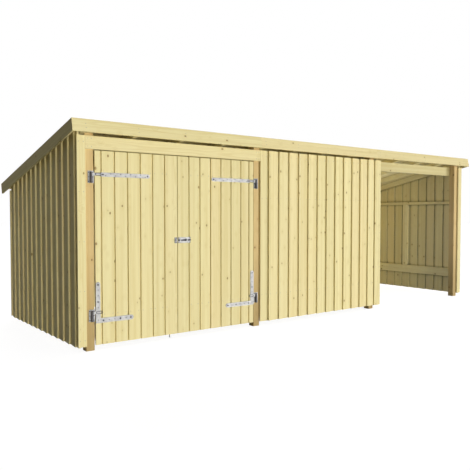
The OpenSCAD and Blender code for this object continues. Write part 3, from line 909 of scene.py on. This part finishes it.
def make_door_nails(side):
    """Nails through the door boards into the ledges, but not into the taller brace."""
    low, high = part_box(f"{side}_door_boards")
    nails = Heads(f"{side}_door_nails")
    free_x = high.x if side == "left" else low.x
    way = -1 if side == "left" else 1
    boards = [edges for edges in door_boards(side, high.x - low.x) if edges[1] - edges[0] > NAILED_LEAST_W]
    for points in solids(f"{side}_door_ledges"):
        ledge_low, ledge_high = corners(points)
        if ledge_high.z - ledge_low.z > LEDGE_TALLEST:
            continue
        z = ledge_low.z + (ledge_high.z - ledge_low.z) * LEDGE_NAIL_RISE
        for start, end in boards:
            for reach in (start + NAIL_EDGE, end - NAIL_EDGE):
                x = free_x + way * reach
                if ledge_low.x + LEDGE_NAIL_MARGIN < x < ledge_high.x - LEDGE_NAIL_MARGIN:
                    nails.add(Vector((x, low.y, z)), -BACK, *NAIL)
    nails.build(ZINC, f"{side}_door", "zinc_steel")


def make_plate_screws(side):
    """Screws in the hinge plates on the post of one leaf."""
    screws = Heads(f"{side}_plate_screws")
    for points in solids(f"{side}_hinge_plates"):
        low, high = corners(points)
        for z in (low.z + PLATE_SCREW_FOOT, (low.z + high.z) / 2, high.z - PLATE_SCREW_FOOT):
            for x in (low.x + PLATE_SCREW_EDGE, high.x - PLATE_SCREW_EDGE):
                screws.add(Vector((x, PLATE_FACE_Y, z)), -BACK, *SCREW)
    screws.build(DARK_ZINC, "shed", "zinc_steel")


def strap_fixings(foot, upper_z):
    """Distance from the pin, height and kind of each bolt and screw in the straps of a leaf."""
    fixings = []
    for step in range(STRAP_SCREWS):
        stagger = STRAP_SCREW_STAGGER if step % 2 else -STRAP_SCREW_STAGGER
        fixings.append((STRAP_SCREW_FIRST + STRAP_SCREW_STEP * step, upper_z + stagger, SCREW))
    fixings += [(x, upper_z, BOLT) for x in STRAP_BOLTS]
    fixings += [(HINGE_EDGE + x, foot + LEG_W / 2, kind) for x, kind in LEVEL_LEG]
    fixings += [(HINGE_EDGE + LEG_W / 2, foot + z, kind) for z, kind in UPRIGHT_LEG]
    return fixings


def make_strap_fasteners(side):
    """Bolts and screws in the straps of one leaf, and a ring on the neck of each strap."""
    plate_low, plate_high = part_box(f"{side}_hinge_plates")
    pin_x = (plate_low.x + plate_high.x) / 2
    way = 1 if side == "left" else -1
    low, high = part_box(f"{side}_door_straps")
    upper_z = high.z - UPPER_EYE_H / 2
    fixings = Heads(f"{side}_strap_bolts")
    for x, z, kind in strap_fixings(low.z, upper_z):
        fixings.add(Vector((pin_x + way * x, STRAP_FACE_Y, z)), -BACK, *kind)
    fixings.build(DARK_ZINC, f"{side}_door", "zinc_steel")

    rings = Heads(f"{side}_strap_rings")
    start, end = RING_SPAN
    ring_x = pin_x + way * (start + end) / 2
    for z in (upper_z, LOWER_EYE_Z):
        rings.add_ring(Vector((ring_x, STRAP_FACE_Y, z)), (end - start) / 2, RING_H / 2)
    rings.build(DARK_ZINC, f"{side}_door", "zinc_steel")


def make_bolt_screws():
    """Screws in the plates of the latch, its keeper and the drop bolt."""
    for node, body, way in (("latch_guides", "right_door", -1), ("latch_keeper", "left_door", -1),
                            ("drop_bolt_guides", "left_door", 1)):
        low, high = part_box(node)
        screws = Heads(f"{node}_screws")
        face = LEAF_FACE_Y - BOLT_PLATE_T if way < 0 else LEAF_BACK_Y + BOLT_PLATE_T
        for x in (low.x + BOLT_SCREW_EDGE, high.x - BOLT_SCREW_EDGE):
            for z in (low.z + BOLT_SCREW_EDGE, high.z - BOLT_SCREW_EDGE):
                screws.add(Vector((x, face, z)), BACK * way, *SCREW)
        screws.build(DARK_ZINC, body, "zinc_steel")


def spread(low, high, margin):
    """Even places of a row of nails from low to high, with a margin at both ends."""
    count = round((high - low) / TRIM_NAIL_STEP)
    return [low + margin + (high - low - 2 * margin) * step / count for step in range(count + 1)]


def nail_trims(nails):
    """Pairs of nails up the trims of the front and the back."""
    trims = [(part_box(f"{place}_trim"), -1) for place in ("left", "middle", "right")]
    trims += [(corners(points), 1) for points in solids("back_trims")]
    for (low, high), way in trims:
        face = low.y if way < 0 else high.y
        for z in spread(low.z, high.z, TRIM_NAIL_MARGIN):
            for x in (low.x + TRIM_NAIL_EDGE, high.x - TRIM_NAIL_EDGE):
                nails.add(Vector((x, face, z)), BACK * way, *NAIL)


def nail_header(nails):
    """Four nails at each end of the board over the doors, into the posts."""
    low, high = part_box("door_header")
    for place in ("left", "door"):
        post_low, post_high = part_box(f"front_post_{place}")
        for x in (post_low.x + NAIL_EDGE, post_high.x - NAIL_EDGE):
            for z in (low.z + NAIL_EDGE, high.z - NAIL_EDGE):
                nails.add(Vector((x, low.y, z)), -BACK, *NAIL)


def nail_fascias(nails):
    """Two nails at each rafter, in the fascia and in the eaves board."""
    rafters = [corners(points) for points in solids("rafters", ROOF)]
    for node, way in (("front_fascia", -1), ("back_fascia", 1)):
        low, high = corners(solids(node, ROOF)[0])
        face = low.y if way < 0 else high.y
        for rafter_low, rafter_high in rafters:
            top = min(high.z, rafter_high.z)
            bottom = max(low.z, rafter_low.z)
            for rise in FASCIA_NAIL_RISES:
                spot = Vector(((rafter_low.x + rafter_high.x) / 2, face, bottom + (top - bottom) * rise))
                nails.add(ROOF @ spot, ROOF.to_3x3() @ (BACK * way), *NAIL)


def nail_barge_boards(nails):
    """A row of nails along the upper edge of each barge board."""
    for side, way in (("left", -1), ("right", 1)):
        low, high = corners(solids(f"{side}_barge_board", ROOF)[0])
        face = low.x if way < 0 else high.x
        for y in spread(low.y, high.y, BARGE_NAIL_MARGIN):
            nails.add(ROOF @ Vector((face, y, high.z - BARGE_NAIL_EDGE)), RIGHT * way, *NAIL)


def make_trim_nails():
    """Nails in the trims and the header, and in the boards along the edges of the roof."""
    nails = Heads("trim_nails")
    nail_trims(nails)
    nail_header(nails)
    nail_fascias(nails)
    nail_barge_boards(nails)
    nails.build(ZINC, "shed", "zinc_steel")


def dress_steel():
    """Zinc on the fittings that show as their solids, with their edges eased."""
    for node, material in (
        ("left_hinge_plates", PLATE_ZINC), ("right_hinge_plates", PLATE_ZINC),
        ("left_door_straps", STRAP_ZINC), ("right_door_straps", STRAP_ZINC),
        ("latch_keeper", ZINC), ("latch_guides", ZINC), ("latch_bolt", DARK_ZINC),
        ("drop_bolt_guides", ZINC), ("drop_bolt_rod", ZINC),
    ):
        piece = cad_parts[node]
        piece.data.materials.clear()
        piece.data.materials.append(material)
        bevel = piece.modifiers.new("eased_edges", "BEVEL")
        bevel.width = STEEL_BEVEL
        bevel.segments = BEVEL_STEPS
        bevel.limit_method = "ANGLE"


def make_camera():
    camera = bpy.data.cameras.new("photo_camera")
    camera.sensor_width = CAMERA_SENSOR
    camera.lens = CAMERA_LENS
    viewer = bpy.data.objects.new("photo_camera", camera)
    viewer.location = CAMERA_AT
    viewer.rotation_euler = (CAMERA_TILT, 0, CAMERA_TURN)
    bpy.context.collection.objects.link(viewer)
    bpy.context.scene.camera = viewer


def make_sun(name, turn, height, spread, strength, colour=(1, 1, 1)):
    sun = bpy.data.lights.new(name, "SUN")
    sun.energy = strength
    sun.angle = math.radians(spread)
    sun.color = colour
    lamp = bpy.data.objects.new(name, sun)
    lamp.rotation_euler = (math.radians(90 - height), 0, math.radians(turn))
    bpy.context.collection.objects.link(lamp)


def make_bay_lamp():
    """A panel beside the partition that lights the bay, and isn't seen itself."""
    panel = bpy.data.lights.new("bay_light", "AREA")
    panel.size = BAY_LAMP_SIZE
    panel.energy = BAY_LAMP_POWER
    panel.color = BAY_LAMP_COLOUR
    lamp = bpy.data.objects.new("bay_light", panel)
    lamp.location = BAY_LAMP_AT
    lamp.rotation_euler = (math.pi / 2, 0, math.radians(BAY_LAMP_TURN - 90))
    lamp.visible_camera = False
    bpy.context.collection.objects.link(lamp)


def make_sky():
    """White where it is seen, and nearly dark as a source of light."""
    world = bpy.data.worlds.new("white_room")
    world.use_nodes = True
    bpy.context.scene.world = world
    tree = world.node_tree
    background = tree.nodes["Background"]
    background.inputs["Color"].default_value = WHITE
    strength = tree.nodes.new("ShaderNodeMapRange")
    strength.inputs["To Min"].default_value = SKY_STRENGTH
    strength.inputs["To Max"].default_value = 1.0
    tree.links.new(seen_rays(tree), strength.inputs["Value"])
    tree.links.new(strength.outputs[0], background.inputs["Strength"])


def make_light():
    make_sun("soft_key", **KEY)
    make_sun("front_fill", **FILL)
    make_sun("ground_light", **LOW)
    make_sun("top_light", **TOP)
    make_sun("rear_light", **REAR)
    make_bay_lamp()
    make_sky()


def make_floor():
    mesh = bpy.data.meshes.new("floor")
    half = FLOOR_SIZE / 2
    points = [(x, y, 0) for x, y in rectangle((-half, -half), (half, half))]
    mesh.from_pydata(points, [], [(0, 1, 2, 3)])
    mesh.materials.append(stage_material("white_floor"))
    floor = bpy.data.objects.new("floor", mesh)
    floor.visible_shadow = False
    bpy.context.collection.objects.link(floor)


make_posts()
make_beams()
make_from_solids("rafters", ROOF)
make_fascias()
for side in ("left", "right"):
    make_from_solids(f"{side}_barge_board", ROOF, BEAM_WOOD)
make_roof_deck()
make_roof_felt()
make_side_walls()
make_long_walls()
for node in ("left_wall_rails", "front_wall_rails", "back_wall_rails",
             "left_trim", "middle_trim", "right_trim", "back_trims", "door_header"):
    make_from_solids(node)
for node in ("partition_rails", "right_wall_rails"):
    make_from_solids(node, wood=BAY_WOOD)
for side in ("left", "right"):
    make_door(side)
    make_ledges(side)
    make_door_nails(side)
    make_plate_screws(side)
    make_strap_fasteners(side)
make_bolt_screws()
make_trim_nails()
dress_steel()
make_camera()
make_light()
make_floor()
bpy.context.scene.view_settings.view_transform = "Standard"
